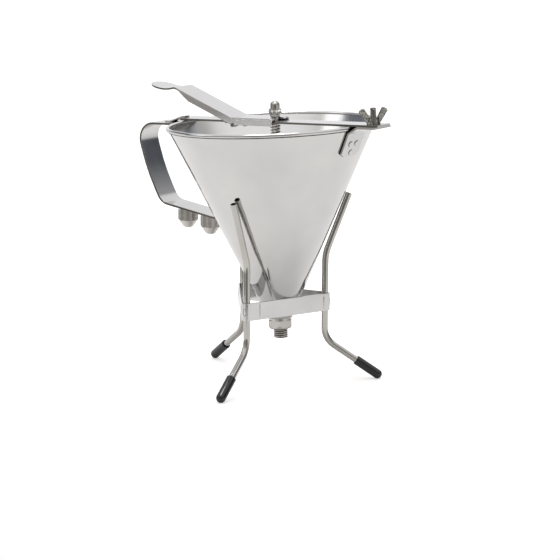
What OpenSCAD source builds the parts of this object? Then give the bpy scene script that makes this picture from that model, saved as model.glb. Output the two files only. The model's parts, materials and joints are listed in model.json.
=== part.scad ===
// Batter dispenser: a steel funnel with a spring-loaded valve rod, worked by a thumb lever,
// which stands in a loose three-legged tube stand. Millimetres, +Z up, feet on z = 0.

/* [Funnel] */
// Diameter over the rolled rim
mouth_d = 190; // [184:1:196]
// Angle between the cone's side and its axis
cone_angle = 25.1; // [24.6:0.1:25.4]
// Thickness of the cone's sheet
cone_wall = 0.8; // [0.6:0.1:1.2]
// Thickness of the rolled rim
rim_roll_d = 3.4; // [3:0.1:4]
// Depth from the rim to the lower end of the cone
cone_depth = 175; // [173:1:176]
// Height of the rim above the table
rim_height = 234.2; // [234:0.2:236]
// How far the funnel leans in its stand, towards the handle
lean = 3.4; // [0:0.1:3.6]

/* [Outlet] */
// Width of the outlet's hexagon, across its flats
outlet_hex = 20.5; // [19:0.5:22]
// Outside diameter of the outlet's thread
outlet_thread_d = 14; // [13:0.5:15]
// Length of the outlet's thread
outlet_thread_len = 9; // [7:0.5:11]
// Diameter of the flow hole
outlet_bore_d = 9.5; // [8:0.5:10]

/* [Handle] */
// Width of the handle's flat strip
strap_w = 25; // [20:1:28]
// Thickness of the handle's flat strip
strap_t = 2; // [1.6:0.1:2.4]
// Length of the handle's level run, out from the rim
handle_reach = 35.7; // [32:0.1:40]

/* [Bridge] */
// Width of the flat bar across the mouth
bar_w = 21; // [18:1:21]
// Thickness of the bar and of the bracket that it is clamped to
bar_t = 1.8; // [1.6:0.1:2]
// Distance from the funnel's axis to the clamp stud
clamp_x = 111; // [109:1:114]
// Diameter of the clamp stud and of the valve rod
stud_d = 6; // [5:0.5:6]
// How far the valve rod leans in the funnel, towards the clamp
rod_lean = 1.3; // [0:0.1:1.3]

/* [Thumb lever] */
// Width of the lever
lever_w = 25; // [25:0.5:27]
// Thickness of the lever's sheet
lever_t = 1.5; // [1.2:0.1:1.6]
// Slope of the lever's long arm
lever_rise = 22.2; // [20:0.1:24]
// Distance from the funnel's axis to the lever's pivot
pivot_x = 35.2; // [34.6:0.1:35.8]
// Diameter of the pivot pin
pivot_d = 2.4; // [2:0.1:2.6]

/* [Return spring] */
// Outside diameter of the spring
spring_d = 9.2; // [9:0.1:10]
// Diameter of the spring's wire
spring_wire = 1.1; // [0.8:0.1:1.2]
// Number of turns
spring_turns = 14; // [10:1:16]
// Length of the spring as fitted
spring_len = 37; // [34:1:40]

/* [Spare nozzles] */
// Outside diameter of a nozzle
nozzle_d = 18.2; // [17:0.2:19]
// Length of a nozzle's cylindrical part
nozzle_grip = 10; // [9:0.5:11]
// Length of a nozzle's tapered end
nozzle_taper = 6.5; // [5:0.5:8]
// Opening of the wide nozzle
wide_opening_d = 6; // [5:0.5:7]
// Opening of the narrow nozzle
narrow_opening_d = 4; // [3:0.5:5]

/* [Stand] */
// Outside diameter of the leg tubes
leg_d = 6; // [5.6:0.1:6.2]
// Wall of the leg tubes
leg_wall = 0.8; // [0.6:0.1:1.2]
// Distance from the stand's axis to the legs' upright part
leg_ring_r = 48.4; // [48.4:0.2:50]
// Distance from the stand's axis to the ends of the feet
foot_ring_r = 97; // [92:1:102]
// Height of the legs' open top ends
leg_top = 172; // [165:1:173]
// Outward slope of the top part of the right and back legs
leg_flare = 20.4; // [20.4:0.2:24]
// Outward slope of the front leg's top part, which was bent less
front_flare = 17.9; // [17.9:0.2:24]
// How far the front leg's top part is turned about its upright, towards the handle
front_twist = 12.4; // [0:0.2:13]
// Slope of the legs' feet, above the table
foot_slope = 34.5; // [30:0.5:38]
// Height of the flat band that joins the legs
band_h = 16; // [12:1:18]
// Height of the band's lower edge above the table
band_z = 64.6; // [60:0.2:66]
// Outside diameter of the rubber foot caps
cap_d = 8.6; // [8:0.1:9.4]
// Length of a foot cap
cap_len = 27.8; // [20:0.2:32]
// How far the stand is turned under the funnel
stand_turn = 40; // [34:0.5:44]

/* [Hidden] */
$fn = 64;

// The stand's axis, as seen from the origin under the middle of the whole object
stand_x = 12.78;
stand_y = 1.63;
// The middle of the rim, as seen from the stand's axis
rim_x = -1.9;
rim_y = 1.57;

fit_gap = 0.05;   // running clearance of a pin or a thread in its hole, all round
rod_gap = 0.1;    // running clearance of the leaning rod in the bar's upright hole
seat_gap = 0.3;   // clearance between the valve and its seat
touch = 0.02;     // how far welded pieces stay apart or butt together
over = 1;         // how far a cutter runs past what it cuts
bend_step = 5;    // degrees from one corner to the next round a strip's bend
bend_lap = 0.1;   // how far a straight run of tube reaches into the bends at its ends

// Cone: the outside follows r = rim_r + z * slope, with z = 0 at the middle of the rim's roll
slope = tan(cone_angle);
rim_r = mouth_d / 2 - rim_roll_d / 2;
wall_across = cone_wall / cos(cone_angle);
function cone_r(z) = rim_r + z * slope;

// Outlet bush, downwards from the cone's lower end
neck_h = 2.5;
hex_h = 7.6;
hex_corner_r = outlet_hex / 2 / cos(30);
hex_top = -cone_depth - neck_h;
hex_bottom = hex_top - hex_h;
thread_end = hex_bottom - outlet_thread_len;
bore_r = outlet_bore_d / 2;
seat_top_z = -cone_depth + 3;
seat_top_r = cone_r(seat_top_z) - wall_across - 1;
seat_low_z = seat_top_z - (seat_top_r - bore_r) / slope;

// Bridge bar, lying on the rim
bar_z = rim_roll_d / 2 + 0.1;
bar_top = bar_z + bar_t;
bar_left = -99;
bar_right = clamp_x + 11.5;
rod_r = stud_d / 2;

// The valve rod leans about the middle of the seat
rod_foot_z = -cone_depth - 3.5;
function rod_x(z) = (z - rod_foot_z) * tan(rod_lean);

// Handle strip: [run, turn, bend radius] along its middle, starting at the rim
handle_path = [[handle_reach, 104, 15.2], [5.3, 12.2, 181], [7.3, 53.2, 14], [70, 0, 0]];
handle_start = [-rim_r, -1.9];
post_steps = [15.4, 41.9];   // places of the nozzle posts along the handle's lower run
post_tilt = 7.2;             // the posts hang upright under the sloping run
post_len = 9;
post_r = outlet_thread_d / 2;

// Lever, seen from the side, with its flat part lying just above the bar
lever_gap = 1.2;
lever_mid_z = bar_top + lever_gap + lever_t / 2;
lever_top = lever_mid_z + lever_t / 2;
lever_front = 10.3;
lever_bend_x = 37.3;
lever_path = [[lever_front + lever_bend_x - 1, lever_rise, 4], [66.5, -lever_rise - 13, 5],
              [0, 27, 40], [13, 0, 0]];
flange_low = -0.6;
pivot_z = -0.3;
pivot_r = pivot_d / 2;
ear_r = 2.3;
slot_w = stud_d + 1.4;

// Saddle under the bar
saddle_t = 1;
saddle_half = bar_w / 2;
saddle_x = [-45, -26];
saddle_rivet_x = [-41, -30.2];
saddle_rivet_r = [3, 2.6];

// Valve rod, its nut and its spring
washer_z = lever_top + 0.4;
washer_t = 2.4;
washer_r = 4.6;
nut_z = washer_z + washer_t + 0.1;
nut_flats = 10;
nut_h = 12;
rod_in_nut = 7.5;
spring_top = bar_z - 0.2;
spring_low = spring_top - spring_len;
collar_t = 3;

// Legs, from the foot up: a sloping foot, a bend, an upright, a bend and a top part that slopes out
foot_bend = 20;
top_bend = 45;
foot_turn = 90 - foot_slope;
foot_run = (foot_ring_r - leg_ring_r - foot_bend * (1 - cos(foot_turn))) / cos(foot_slope);
upright_low = cap_d / 2 + foot_run * sin(foot_slope) + foot_bend * sin(foot_turn);
upright_top = 108;
RIGHT = 0;
BACK = 1;
FRONT = 2;
leg_flares = [leg_flare, leg_flare, front_flare];
leg_twists = [0, 0, -front_twist];
band_t = 1.5;

STEEL = "#c8c9c8";
DULL_STEEL = "#a9a49d";
BRIGHT_STEEL = "#dcdcda";
RUBBER = "#1b1c1e";

// ---------- places ----------

// Moves a leg's pieces, drawn in the XZ plane, to the leg's place in the stand
module at_leg(index) {
    translate([stand_x, stand_y, 0])
        rotate([0, 0, stand_turn + 120 * index])
            children();
}

// Moves the funnel's pieces, drawn about its own upright axis with z = 0 at the rim, into the stand
module in_stand() {
    translate([stand_x + rim_x, stand_y + rim_y, rim_height])
        rotate([0, -lean, 0])
            children();
}

// Moves the rod's pieces, drawn about the funnel's axis, into the leaning rod's place
module along_rod() {
    in_stand()
        translate([0, 0, rod_foot_z])
            rotate([0, rod_lean, 0])
                translate([0, 0, -rod_foot_z])
                    children();
}

// A bent path is a list of [run, turn, bend radius]: a straight run, then a bend, and so on.
// It starts along +X and turns in the XZ plane, towards +Z where the turn is positive.

// The place and heading at the start of run n: [x, z, heading]
function path_pose(path, n, pose = [0, 0, 0], i = 0) =
    i >= n ? pose :
    let (
        run = path[i][0],
        turn = path[i][1],
        side = sign(turn),
        a = pose[2],
        dx = run + path[i][2] * sin(abs(turn)),
        dz = side * path[i][2] * (1 - cos(turn))
    )
    path_pose(path, n, [pose[0] + dx * cos(a) - dz * sin(a), pose[1] + dx * sin(a) + dz * cos(a), a + turn], i + 1);

// The corners of a line that runs beside the path, at a distance from it
function beside_path(path, out) = [
    for (n = [0:len(path) - 1])
        let (
            pose = path_pose(path, n),
            turn = path[n][1],
            a = pose[2],
            run_end = [pose[0], pose[1]] + path[n][0] * [cos(a), sin(a)],
            centre = run_end + sign(turn) * path[n][2] * [-sin(a), cos(a)],
            from_centre = out - sign(turn) * path[n][2],
            steps = ceil(abs(turn) / bend_step)
        )
        each concat(
            n == 0 ? [[pose[0], pose[1]] + out * [-sin(a), cos(a)]] : [],
            turn == 0 ? [run_end + out * [-sin(a), cos(a)]] : [],
            turn == 0 ? [] : [
                for (i = [path[n][0] > 0 ? 0 : 1:steps])
                    let (b = a + turn * i / steps)
                    centre + from_centre * [-sin(b), cos(b)]
            ]
        )
];

// A flat strip, bent along a path
module bent_strip(path, thick, width) {
    left = beside_path(path, thick / 2);
    right = beside_path(path, -thick / 2);
    side_plate(width)
        polygon(concat(left, [for (i = [len(right) - 1:-1:0]) right[i]]));
}

// A round bar, bent along a path; its bends are a hair fuller than its runs, which reach into them
module bent_bar(path, r, fuller = 0.01) {
    for (n = [0:len(path) - 1]) {
        pose = path_pose(path, n);
        run = path[n][0];
        turn = path[n][1];
        bend = path[n][2];
        from_lap = n > 0 ? bend_lap : 0;
        to_lap = turn != 0 ? bend_lap : 0;
        translate([pose[0], 0, pose[1]])
            rotate([0, -pose[2], 0]) {
                if (run > 0)
                    translate([-from_lap, 0, 0])
                        rotate([0, 90, 0])
                            cylinder(r = r, h = from_lap + run + to_lap);
                if (turn != 0)
                    translate([run, 0, sign(turn) * bend])
                        rotate([90, 0, 0])
                            rotate([0, 0, turn > 0 ? -90 : 90 + turn])
                                rotate_extrude(angle = abs(turn), $fn = 180)
                                    translate([bend, 0])
                                        circle(r = r + fuller);
            }
    }
}

// A plate drawn as seen from the front, [x, z], and centred on y
module side_plate(width) {
    rotate([90, 0, 0])
        linear_extrude(width, center = true)
            children();
}

// A dome of radius r and height h on the plane z = 0
module dome(r, h) {
    ball_r = (r * r + h * h) / (2 * h);
    intersection() {
        translate([0, 0, h - ball_r])
            sphere(r = ball_r, $fn = 96);
        cylinder(r = r + over, h = h + over);
    }
}

// ---------- stand ----------

// A leg's lower part, from a distance along the foot up to the end of the upright
module leg_foot(start, r) {
    upright = upright_top - upright_low + bend_lap;
    translate([foot_ring_r, 0, cap_d / 2])
        rotate([0, foot_slope - 180, 0])
            translate([1 + start, 0, 0])
                bent_bar([[foot_run - 1 - start, -foot_turn, foot_bend], [upright, 0, 0]], r);
}

// A leg's top part, which bends outwards above the upright and runs on past the leg's end
module leg_head(flare, twist, past, r) {
    run = (leg_top - upright_top - top_bend * sin(flare)) / cos(flare);
    translate([leg_ring_r, 0, upright_top])
        rotate([0, 0, twist])
            rotate([0, -90, 0])
                bent_bar([[0, -flare, top_bend], [run + past, 0, 0]], r, 0.05);
}

module leg(index) {
    bore_start = 8;
    leg_bore_r = leg_d / 2 - leg_wall;
    color(STEEL)
        at_leg(index)
            difference() {
                union() {
                    leg_foot(0, leg_d / 2);
                    leg_head(leg_flares[index], leg_twists[index], 0, leg_d / 2);
                }
                leg_foot(bore_start, leg_bore_r);
                leg_head(leg_flares[index], leg_twists[index], over, leg_bore_r);
            }
}

module foot_cap(index) {
    color(RUBBER)
        at_leg(index)
            translate([foot_ring_r, 0, cap_d / 2])
                rotate([0, foot_slope - 90, 0])
                    difference() {
                        union() {
                            sphere(d = cap_d);
                            cylinder(d = cap_d, h = cap_len - cap_d / 2);
                        }
                        translate([0, 0, 1])
                            cylinder(d = leg_d, h = cap_len);
                    }
}

// A triangle with its corners on the legs' axes, rounded at a radius round each of them
module round_triangle(r) {
    polygon([
        for (index = [0:2])
            for (turn = [-60:6:60])
                let (leg_angle = stand_turn + 120 * index, a = leg_angle + turn)
                leg_ring_r * [cos(leg_angle), sin(leg_angle)] + r * [cos(a), sin(a)]
    ]);
}

module leg_band() {
    color(BRIGHT_STEEL)
        translate([stand_x, stand_y, band_z])
            linear_extrude(band_h)
                difference() {
                    round_triangle(leg_d / 2 + fit_gap + band_t);
                    round_triangle(leg_d / 2 + fit_gap);
                }
}

// ---------- funnel ----------

// Puts a piece where a bracket rivet sits, with +Z out through the bracket
module at_bracket_rivets() {
    for (place = [[-13.4, -4.4], [-13.4, 4.4], [-21.2, 0]])
        translate([cone_r(place[0]), place[1], place[0]])
            rotate([0, 90 + cone_angle, 0])
                children();
}

bracket_rivet_r = 1.6;

module funnel_cone() {
    color(STEEL)
        in_stand()
            difference() {
                union() {
                    rotate_extrude($fn = 180)
                        polygon([
                            [cone_r(0), 0],
                            [cone_r(-cone_depth), -cone_depth],
                            [cone_r(-cone_depth) - wall_across, -cone_depth],
                            [cone_r(0) - wall_across, 0]
                        ]);
                    rotate_extrude($fn = 180)
                        translate([rim_r, 0])
                            circle(d = rim_roll_d);
                }
                at_bracket_rivets()
                    cylinder(r = bracket_rivet_r, h = 8, center = true);
            }
}

module outlet_bush() {
    inner_top_r = cone_r(seat_top_z) - wall_across - touch;
    inner_low_r = cone_r(-cone_depth) - wall_across - touch;
    color(DULL_STEEL)
        in_stand()
            difference() {
                union() {
                    translate([0, 0, -cone_depth])
                        cylinder(r1 = inner_low_r, r2 = inner_top_r, h = seat_top_z + cone_depth);
                    translate([0, 0, hex_top])
                        cylinder(r = outlet_hex / 2 - 0.1, h = neck_h);
                    intersection() {
                        translate([0, 0, hex_bottom])
                            rotate([0, 0, 4])
                                cylinder(r = hex_corner_r, h = hex_h, $fn = 6);
                        translate([0, 0, hex_bottom])
                            cylinder(r1 = hex_corner_r - 2, r2 = hex_corner_r + 3, h = hex_h + over);
                    }
                    translate([0, 0, thread_end + 1])
                        cylinder(d = outlet_thread_d, h = outlet_thread_len - 1);
                    translate([0, 0, thread_end])
                        cylinder(d1 = outlet_thread_d - 2, d2 = outlet_thread_d, h = 1);
                }
                translate([0, 0, thread_end - over])
                    cylinder(r = bore_r, h = seat_low_z - thread_end + 2 * over);
                translate([0, 0, seat_low_z])
                    cylinder(r1 = bore_r, r2 = seat_top_r + over * slope, h = seat_top_z - seat_low_z + over);
            }
}

module handle_strap() {
    color(STEEL)
        in_stand()
            difference() {
                translate([handle_start[0], 0, handle_start[1]])
                    rotate([0, 180, 0])
                        bent_strip(handle_path, strap_t, strap_w);
                translate([0, 0, -rim_roll_d])
                    cylinder(r = mouth_d / 2 + touch, h = 2 * rim_roll_d, $fn = 180);
                translate([0, 0, -cone_depth])
                    cylinder(r1 = cone_r(-cone_depth) + touch, r2 = cone_r(0) + touch, h = cone_depth, $fn = 180);
            }
}

// The spring-like hook on the handle's top run, which holds down the bar's left end
module bridge_catch() {
    foot = 4.6;
    climb = 19;
    catch_t = 1.2;
    catch_w = 12;
    catch_start = -119;
    grip = 3;
    strip_z = handle_start[1] + strap_t / 2 + touch + catch_t / 2;
    rise = bar_top + 0.2 + catch_t / 2 - strip_z;
    bend = 8;
    ramp = (rise - 2 * bend * (1 - cos(climb))) / sin(climb);
    tip_x = bar_left + grip;
    flat = tip_x - catch_start - foot - ramp * cos(climb) - 2 * bend * sin(climb);
    color(BRIGHT_STEEL)
        in_stand()
            intersection() {
                translate([catch_start, 0, strip_z])
                    bent_strip([[foot, climb, bend], [ramp, -climb, bend], [flat + over, 0, 0]], catch_t, catch_w);
                linear_extrude(20, center = true)
                    union() {
                        translate([catch_start - over, -catch_w / 2])
                            square([tip_x - catch_w / 2 - catch_start + over, catch_w]);
                        translate([tip_x - catch_w / 2, 0])
                            circle(d = catch_w);
                    }
            }
}

// Moves a piece to a nozzle post's place on the handle's lower run, with +Z out of the strip
module at_post(index) {
    pose = path_pose(handle_path, 3);
    translate([handle_start[0], 0, handle_start[1]])
        rotate([0, 180, 0])
            translate([pose[0], 0, pose[1]])
                rotate([0, -pose[2], 0])
                    translate([post_steps[index], 0, -strap_t / 2])
                        rotate([180, -post_tilt, 0])
                            children();
}

module nozzle_post(index) {
    color(DULL_STEEL)
        in_stand()
            at_post(index)
                difference() {
                    union() {
                        translate([0, 0, -over])
                            cylinder(r = post_r, h = post_len - 1 + over);
                        translate([0, 0, post_len - 1])
                            cylinder(r1 = post_r, r2 = post_r - 1, h = 1);
                    }
                    rotate([180, 0, 0])
                        rotate([0, post_tilt, 0])
                            translate([-post_len, -post_len, -touch])
                                cube([2 * post_len, 2 * post_len, post_len]);
                }
}

module clamp_bracket() {
    crank = 30;
    bend = 3;
    settle = 90 - cone_angle - crank;
    shelf = 18;
    shelf_end = bar_right - 2;
    shelf_z = bar_z - touch - bar_t / 2;
    off_start = (shelf_end - shelf - bend * sin(crank) - rim_r) * cos(cone_angle)
        - (shelf_z - bend * (1 - cos(crank))) * sin(cone_angle);
    off_end = bar_t / 2 + fit_gap + bend * (1 - cos(settle));
    crank_run = (off_start - off_end) / sin(settle);
    color(BRIGHT_STEEL)
        in_stand()
            difference() {
                translate([shelf_end, 0, shelf_z])
                    rotate([0, 0, 180])
                        bent_strip([[shelf, -crank, bend], [crank_run, -settle, bend], [22, 0, 0]], bar_t, strap_w);
                translate([clamp_x, 0, shelf_z - bar_t])
                    cylinder(d = stud_d, h = 2 * bar_t);
                at_bracket_rivets()
                    cylinder(r = bracket_rivet_r, h = 12, center = true);
                for (side = [-1, 1])
                    translate([cone_r(-23), side * strap_w / 2, -23])
                        rotate([side * 28, 0, 0])
                            translate([0, 0, -15])
                                cube([30, 60, 30], center = true);
            }
}

module bracket_rivets() {
    grip = bar_t + fit_gap;
    foot_h = 0.7;
    foot_z = -cone_wall - 0.35 - foot_h;   // clear of the cone, which curves away under the flat plate
    color(BRIGHT_STEEL)
        in_stand()
            at_bracket_rivets() {
                translate([0, 0, foot_z])
                    cylinder(r = bracket_rivet_r, h = grip - foot_z + touch);
                translate([0, 0, grip])
                    dome(2, 0.5);
                translate([0, 0, foot_z])
                    cylinder(r = 2.4, h = foot_h);
            }
}

module clamp_stud() {
    stud_len = 17.1;
    color(DULL_STEEL)
        in_stand()
            translate([clamp_x, 0, bar_z - touch - bar_t]) {
                cylinder(d = stud_d, h = stud_len);
                translate([0, 0, stud_len])
                    cylinder(d1 = stud_d, d2 = stud_d - 1.4, h = 0.7);
            }
}

module bridge_bar() {
    corner = 3;
    color(BRIGHT_STEEL)
        in_stand()
            translate([0, 0, bar_z])
                difference() {
                    union() {
                        translate([bar_left + corner, -bar_w / 2, 0])
                            cube([bar_right - bar_left - 2 * corner, bar_w, bar_t]);
                        translate([bar_left, -bar_w / 2 + corner, 0])
                            cube([bar_right - bar_left, bar_w - 2 * corner, bar_t]);
                        for (x = [bar_left + corner, bar_right - corner])
                            for (side = [-1, 1])
                                translate([x, side * (bar_w / 2 - corner), 0])
                                    cylinder(r = corner, h = bar_t);
                    }
                    translate([rod_x(bar_z), 0, -over])
                        cylinder(r = rod_r + rod_gap, h = bar_t + 2 * over);
                    translate([clamp_x, 0, -over])
                        cylinder(r = stud_d / 2 + 0.4, h = bar_t + 2 * over);
                    for (x = saddle_rivet_x)
                        translate([x, 0, -over])
                            cylinder(r = 1.5, h = bar_t + 2 * over);
                }
}

module hinge_saddle() {
    drop = bar_z - pivot_z;
    color(STEEL)
        in_stand()
            difference() {
                union() {
                    translate([saddle_x[0], -saddle_half, bar_z - touch - saddle_t])
                        cube([saddle_x[1] - saddle_x[0], 2 * saddle_half, saddle_t]);
                    for (side = [-1, 1])
                        translate([0, side * (saddle_half - saddle_t / 2), 0])
                            side_plate(saddle_t)
                                intersection() {
                                    union() {
                                        translate([-pivot_x, pivot_z])
                                            circle(r = ear_r);
                                        translate([-pivot_x - ear_r, pivot_z])
                                            square([2 * ear_r, drop]);
                                    }
                                    translate([-pivot_x - ear_r, pivot_z - ear_r])
                                        square([2 * ear_r, ear_r + drop - touch]);
                                }
                }
                side_plate(60)
                    translate([-pivot_x, pivot_z])
                        circle(r = pivot_r);
                for (x = saddle_rivet_x)
                    translate([x, 0, -over])
                        cylinder(r = 1.5, h = bar_z + 2 * over);
            }
}

module saddle_rivets() {
    color(DULL_STEEL)
        in_stand()
            for (i = [0, 1])
                translate([saddle_rivet_x[i], 0, bar_z - touch - saddle_t])
                    rotate([180, 0, 0]) {
                        dome(saddle_rivet_r[i], 2.7);
                        translate([0, 0, -saddle_t - touch - bar_t])
                            cylinder(r = 1.5, h = saddle_t + touch + bar_t);
                    }
}

module lever_pin() {
    half = lever_w / 2 + 0.3;
    color(DULL_STEEL)
        in_stand()
            translate([-pivot_x, 0, pivot_z])
                rotate([90, 0, 0]) {
                    cylinder(r = pivot_r, h = 2 * half, center = true);
                    for (side = [0, 1])
                        mirror([0, 0, side])
                            translate([0, 0, half])
                                dome(1.7, 0.6);
                }
}

// ---------- lever ----------

// Side view of the lever's two flanges: under its flat part, round the pivot and up the slope
module flange_outline() {
    depth = 5.1;
    bend_x = -lever_bend_x;
    rise = tan(lever_rise);
    function slope_top(x) = lever_mid_z + (bend_x - x) * rise;
    drop = depth / cos(lever_rise);
    polygon([
        [lever_front, lever_mid_z],
        [lever_front, lever_mid_z - 1],
        [lever_front - 3.5, flange_low],
        [-pivot_x - 1, flange_low],
        [-42, slope_top(-42) - drop],
        [-85, slope_top(-85) - drop],
        [-90, slope_top(-90) - 3.6],
        [-98, slope_top(-98)],
        [bend_x, lever_mid_z]
    ]);
    translate([-pivot_x, pivot_z])
        circle(r = ear_r);
}

module thumb_lever() {
    thumb_r = lever_w / 2;
    thumb_x = -121.5;
    tip = 3;
    color(STEEL)
        in_stand()
            difference() {
                union() {
                    intersection() {
                        translate([lever_front, 0, lever_mid_z])
                            rotate([0, 0, 180])
                                bent_strip(lever_path, lever_t, lever_w);
                        translate([0, 0, -over])
                            linear_extrude(60)
                                union() {
                                    translate([thumb_x, -lever_w / 2])
                                        square([lever_front - tip - thumb_x, lever_w]);
                                    translate([thumb_x, -lever_w / 2 + tip])
                                        square([lever_front - thumb_x, lever_w - 2 * tip]);
                                    translate([thumb_x, 0])
                                        circle(r = thumb_r, $fn = 96);
                                    for (side = [-1, 1])
                                        translate([lever_front - tip, side * (lever_w / 2 - tip)])
                                            circle(r = tip);
                                }
                    }
                    for (side = [-1, 1])
                        translate([0, side * (lever_w - lever_t) / 2, 0])
                            side_plate(lever_t)
                                flange_outline();
                }
                translate([rod_x(lever_mid_z), 0, lever_mid_z - 2])
                    cylinder(d = slot_w, h = 4);
                translate([rod_x(lever_mid_z), -slot_w / 2, lever_mid_z - 2])
                    cube([lever_front, slot_w, 4]);
                side_plate(60)
                    translate([-pivot_x, pivot_z])
                        circle(r = pivot_r + fit_gap);
            }
}

// ---------- valve ----------

module valve_rod() {
    low = seat_low_z + 3;
    color(BRIGHT_STEEL)
        along_rod()
            translate([0, 0, low])
                cylinder(r = rod_r, h = nut_z + rod_in_nut - low);
}

module valve_plug() {
    low = seat_low_z - 2;
    top = seat_top_z + 2;
    color(STEEL)
        along_rod()
            difference() {
                union() {
                    translate([0, 0, seat_low_z])
                        cylinder(r1 = bore_r - seat_gap, r2 = seat_top_r - seat_gap, h = seat_top_z - seat_low_z);
                    translate([0, 0, seat_top_z])
                        cylinder(r = seat_top_r - seat_gap, h = top - seat_top_z);
                    translate([0, 0, low])
                        cylinder(r1 = bore_r - 1.6, r2 = bore_r - seat_gap, h = seat_low_z - low);
                }
                translate([0, 0, seat_low_z + 3])
                    cylinder(r = rod_r, h = 40);
            }
}

module spring_collar() {
    color(DULL_STEEL)
        along_rod()
            translate([0, 0, spring_low - 0.1 - collar_t])
                difference() {
                    cylinder(d = spring_d + 1.6, h = collar_t);
                    translate([0, 0, -over])
                        cylinder(r = rod_r, h = collar_t + 2 * over);
                }
}

module lift_washer() {
    color(DULL_STEEL)
        along_rod()
            translate([0, 0, washer_z])
                difference() {
                    union() {
                        cylinder(r1 = 3.9, r2 = washer_r, h = 0.6);
                        translate([0, 0, 0.6])
                            cylinder(r = washer_r, h = washer_t - 0.6);
                    }
                    translate([0, 0, -over])
                        cylinder(r = rod_r, h = washer_t + 2 * over);
                }
}

// The spring's wire: rings of a round section along a helix, joined ring to ring
module return_spring() {
    sides = 6;
    per_turn = 14;
    mean_r = (spring_d - spring_wire) / 2;
    wire_r = spring_wire / 2;
    rings = spring_turns * per_turn;
    climb = (spring_len - spring_wire) / rings;
    pitch_angle = atan(climb * per_turn / (2 * PI * mean_r));
    points = [
        for (k = [0:rings])
            for (s = [0:sides - 1])
                let (
                    a = 360 * k / per_turn,
                    t = 360 * s / sides,
                    out = mean_r + wire_r * cos(t),
                    back = -wire_r * sin(t) * sin(pitch_angle)
                )
                [out * cos(a) - back * sin(a), out * sin(a) + back * cos(a),
                 k * climb + wire_r + wire_r * sin(t) * cos(pitch_angle)]
    ];
    skin = [
        for (k = [0:rings - 1])
            for (s = [0:sides - 1])
                let (here = k * sides + s, next = k * sides + (s + 1) % sides)
                [here, here + sides, next + sides, next]
    ];
    ends = [
        [for (s = [0:sides - 1]) s],
        [for (s = [sides - 1:-1:0]) rings * sides + s]
    ];
    color(DULL_STEEL)
        along_rod()
            translate([0, 0, spring_low])
                polyhedron(points = points, faces = concat(skin, ends));
}

// ---------- nuts and nozzles ----------

module cap_nut() {
    corner_r = nut_flats / 2 / cos(30);
    foot_h = 0.7;
    hex_part = 4.3;
    neck = 4;
    dome_r = 4.3;
    color(DULL_STEEL)
        along_rod()
            translate([0, 0, nut_z])
                difference() {
                    union() {
                        cylinder(r1 = nut_flats / 2 - 0.6, r2 = nut_flats / 2 - 0.1, h = foot_h + over);
                        translate([0, 0, foot_h])
                            intersection() {
                                rotate([0, 0, -26])
                                    cylinder(r = corner_r, h = hex_part, $fn = 6);
                                cylinder(r1 = corner_r + hex_part - 0.6, r2 = corner_r - 0.6, h = hex_part);
                            }
                        translate([0, 0, foot_h + hex_part - over])
                            cylinder(r = dome_r, h = neck + over);
                        translate([0, 0, foot_h + hex_part + neck])
                            dome(dome_r, nut_h - foot_h - hex_part - neck);
                    }
                    translate([0, 0, -over])
                        cylinder(r = rod_r + fit_gap, h = rod_in_nut + 0.7 + over);
                }
}

// Side view of a wing, which slants up and out from the hub
module wing_outline() {
    polygon([[3.6, 5.2], [4.2, 1.2], [6.6, 1.2], [13.4, 10.6], [13.2, 12.2], [10.4, 13.9], [8.9, 13.7]]);
}

module wing_nut() {
    hub_h = 6;
    wing_turn = 61;
    color(DULL_STEEL)
        in_stand()
            translate([clamp_x, 0, bar_top + 0.1])
                rotate([0, 0, wing_turn])
                    difference() {
                        union() {
                            cylinder(r1 = 6.2, r2 = 5, h = hub_h);
                            for (side = [0, 180])
                                rotate([0, 0, side])
                                    side_plate(2.2)
                                        wing_outline();
                        }
                        translate([0, 0, -over])
                            cylinder(d = stud_d + 2 * fit_gap, h = 30);
                    }
}

module spare_nozzle(index, opening_d) {
    tip_r = 4.4;
    nozzle_start = nozzle_d / 2 * sin(post_tilt) + 0.4;
    color(DULL_STEEL)
        in_stand()
            at_post(index)
                translate([0, 0, nozzle_start])
                    difference() {
                        union() {
                            cylinder(d = nozzle_d, h = nozzle_grip);
                            translate([0, 0, nozzle_grip])
                                cylinder(r1 = nozzle_d / 2, r2 = tip_r, h = nozzle_taper);
                            translate([0, 0, nozzle_grip + nozzle_taper])
                                dome(tip_r, 0.9);
                        }
                        translate([0, 0, -over])
                            cylinder(r = post_r + fit_gap, h = nozzle_grip + over + touch);
                        translate([0, 0, nozzle_grip])
                            cylinder(r1 = post_r, r2 = opening_d / 2, h = nozzle_taper - 1);
                        cylinder(d = opening_d, h = nozzle_grip + nozzle_taper + 2 * over);
                    }
}

leg(FRONT);  // leg_front
leg(RIGHT);  // leg_right
leg(BACK);  // leg_back
leg_band();
foot_cap(FRONT);  // foot_cap_front
foot_cap(RIGHT);  // foot_cap_right
foot_cap(BACK);  // foot_cap_back
funnel_cone();
outlet_bush();
handle_strap();
bridge_catch();
nozzle_post(0);  // nozzle_post_outer
nozzle_post(1);  // nozzle_post_inner
clamp_bracket();
bracket_rivets();
clamp_stud();
bridge_bar();
hinge_saddle();
saddle_rivets();
lever_pin();
thumb_lever();
valve_rod();
valve_plug();
spring_collar();
lift_washer();
return_spring();
cap_nut();
wing_nut();
spare_nozzle(0, wide_opening_d);  // spare_nozzle_wide
spare_nozzle(1, narrow_opening_d);  // spare_nozzle_narrow
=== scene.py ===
"""Looks of a steel batter dispenser: a piston funnel with a thumb lever, resting in a tube stand.

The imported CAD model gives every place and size. This script adds what the CAD leaves plain, such as
rounded sheet edges, threads, weld beads, the wire of the spring and the finish of each surface.
"""

import json
import logging
import math
from dataclasses import dataclass
from enum import Enum
from typing import Callable, Sequence

import bmesh
import bpy
from mathutils import Matrix, Vector

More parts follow.
